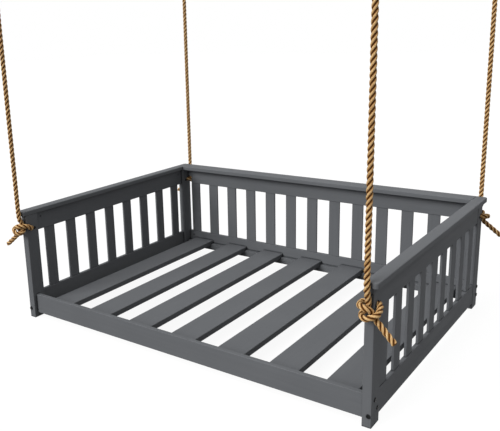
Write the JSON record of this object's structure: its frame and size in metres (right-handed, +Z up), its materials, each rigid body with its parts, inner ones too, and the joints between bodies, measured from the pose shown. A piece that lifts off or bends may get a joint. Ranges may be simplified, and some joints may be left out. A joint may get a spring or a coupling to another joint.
{
  "type": "hanging swing bed",
  "caption": "Slatted swing bed with panelled ends and back, a low open front and a rope at each corner that hangs from a ceiling eye bolt.",
  "frame": {"origin": "on the ceiling plane, at the middle of the rectangle of the four eye bolts, over the bed's middle", "axes": "+X along the bed to its right end, +Y to its panelled back, +Z up"},
  "size_m": [2.2, 1.592, 2.12],
  "materials": {
    "painted_wood": "satin grey paint",
    "bare_wood": "plain beech",
    "manila_rope": "three-strand natural fibre",
    "seizing_twine": "tarred twine",
    "galvanised_steel": "galvanised",
    "black_bolts": "black oxide"
  },
  "bodies": {
    "ceiling": {"eye_bolts": "galvanised_steel", "ceiling_washers": "galvanised_steel"},
    "bed": {"post_1": "painted_wood", "post_2": "painted_wood", "post_3": "painted_wood", "post_4": "painted_wood", "cap_left": "painted_wood", "cap_right": "painted_wood", "cap_back": "painted_wood", "upper_rail_left": "painted_wood", "upper_rail_right": "painted_wood", "upper_rail_back": "painted_wood", "lower_rail_left": "painted_wood", "lower_rail_right": "painted_wood", "lower_rail_back": "painted_wood", "front_rail": "painted_wood", "cleat_front": "painted_wood", "cleat_back": "painted_wood", "spindles_left": "painted_wood", "spindles_right": "painted_wood", "spindles_back": "painted_wood", "slat_1": "painted_wood", "slat_2": "painted_wood", "slat_3": "painted_wood", "slat_4": "painted_wood", "slat_5": "painted_wood", "slat_6": "painted_wood", "slat_7": "painted_wood", "post_bolts": "black_bolts", "barrel_nuts": "galvanised_steel", "cap_dowels": "bare_wood", "wood_screws": "galvanised_steel", "rope_knot_1": "manila_rope", "rope_knot_2": "manila_rope", "rope_knot_3": "manila_rope", "rope_knot_4": "manila_rope"},
    "shackle_1": {"shackle_1": "galvanised_steel", "shackle_pin_1": "galvanised_steel"},
    "rope_1": {"rope_1": "manila_rope", "thimble_1": "galvanised_steel", "seizing_1": "seizing_twine"},
    "rope_flex_1": {"rope_flex_1": "manila_rope"},
    "shackle_2": {"shackle_2": "galvanised_steel", "shackle_pin_2": "galvanised_steel"},
    "rope_2": {"rope_2": "manila_rope", "thimble_2": "galvanised_steel", "seizing_2": "seizing_twine"},
    "rope_flex_2": {"rope_flex_2": "manila_rope"},
    "shackle_3": {"shackle_3": "galvanised_steel", "shackle_pin_3": "galvanised_steel"},
    "rope_3": {"rope_3": "manila_rope", "thimble_3": "galvanised_steel", "seizing_3": "seizing_twine"},
    "rope_flex_3": {"rope_flex_3": "manila_rope"},
    "shackle_4": {"shackle_4": "galvanised_steel", "shackle_pin_4": "galvanised_steel"},
    "rope_4": {"rope_4": "manila_rope", "thimble_4": "galvanised_steel", "seizing_4": "seizing_twine"},
    "rope_flex_4": {"rope_flex_4": "manila_rope"}
  },
  "joints": [
    {"name": "swing_front_back", "type": "hinge", "parent": "ceiling", "child": "shackle_1", "pos_m": [-0.98, -0.757, -0.0717], "axis": [1, 0, 0], "range_deg": [-15, 15]},
    {"name": "swing_side", "type": "hinge", "parent": "shackle_1", "child": "rope_1", "pos_m": [-0.98, -0.757, -0.1137], "axis": [0, 1, 0], "range_deg": [-15, 15]},
    {"name": "rope_1_low_side", "type": "hinge", "parent": "rope_1", "child": "rope_flex_1", "pos_m": [-0.98, -0.757, -1.366], "axis": [0, 1, 0], "range_deg": [-15, 15]},
    {"name": "bed_level", "type": "hinge", "parent": "rope_flex_1", "child": "bed", "pos_m": [-0.98, -0.757, -1.396], "axis": [1, 0, 0], "range_deg": [-15, 15]},
    {"name": "shackle_2_swing", "type": "hinge", "parent": "ceiling", "child": "shackle_2", "pos_m": [0.98, -0.757, -0.0717], "axis": [1, 0, 0], "range_deg": [-15, 15]},
    {"name": "rope_2_low_front_back", "type": "hinge", "parent": "bed", "child": "rope_flex_2", "pos_m": [0.98, -0.757, -1.396], "axis": [1, 0, 0], "range_deg": [-15, 15]},
    {"name": "rope_2_low_side", "type": "hinge", "parent": "rope_flex_2", "child": "rope_2", "pos_m": [0.98, -0.757, -1.366], "axis": [0, 1, 0], "range_deg": [-15, 15]},
    {"name": "shackle_3_swing", "type": "hinge", "parent": "ceiling", "child": "shackle_3", "pos_m": [-0.98, 0.757, -0.0717], "axis": [1, 0, 0], "range_deg": [-15, 15]},
    {"name": "rope_3_low_front_back", "type": "hinge", "parent": "bed", "child": "rope_flex_3", "pos_m": [-0.98, 0.757, -1.396], "axis": [1, 0, 0], "range_deg": [-15, 15]},
    {"name": "rope_3_low_side", "type": "hinge", "parent": "rope_flex_3", "child": "rope_3", "pos_m": [-0.98, 0.757, -1.366], "axis": [0, 1, 0], "range_deg": [-15, 15]},
    {"name": "shackle_4_swing", "type": "hinge", "parent": "ceiling", "child": "shackle_4", "pos_m": [0.98, 0.757, -0.0717], "axis": [1, 0, 0], "range_deg": [-15, 15]},
    {"name": "rope_4_low_front_back", "type": "hinge", "parent": "bed", "child": "rope_flex_4", "pos_m": [0.98, 0.757, -1.396], "axis": [1, 0, 0], "range_deg": [-15, 15]},
    {"name": "rope_4_low_side", "type": "hinge", "parent": "rope_flex_4", "child": "rope_4", "pos_m": [0.98, 0.757, -1.366], "axis": [0, 1, 0], "range_deg": [-15, 15]}
  ],
  "couplings": [
    {"joint": "rope_1_low_side", "follows": "swing_side", "ratio": -1},
    {"joint": "bed_level", "follows": "swing_front_back", "ratio": -1},
    {"joint": "shackle_2_swing", "follows": "swing_front_back", "ratio": 1},
    {"joint": "rope_2_low_front_back", "follows": "swing_front_back", "ratio": 1},
    {"joint": "rope_2_low_side", "follows": "swing_side", "ratio": 1},
    {"joint": "shackle_3_swing", "follows": "swing_front_back", "ratio": 1},
    {"joint": "rope_3_low_front_back", "follows": "swing_front_back", "ratio": 1},
    {"joint": "rope_3_low_side", "follows": "swing_side", "ratio": 1},
    {"joint": "shackle_4_swing", "follows": "swing_front_back", "ratio": 1},
    {"joint": "rope_4_low_front_back", "follows": "swing_front_back", "ratio": 1},
    {"joint": "rope_4_low_side", "follows": "swing_side", "ratio": 1}
  ]
}
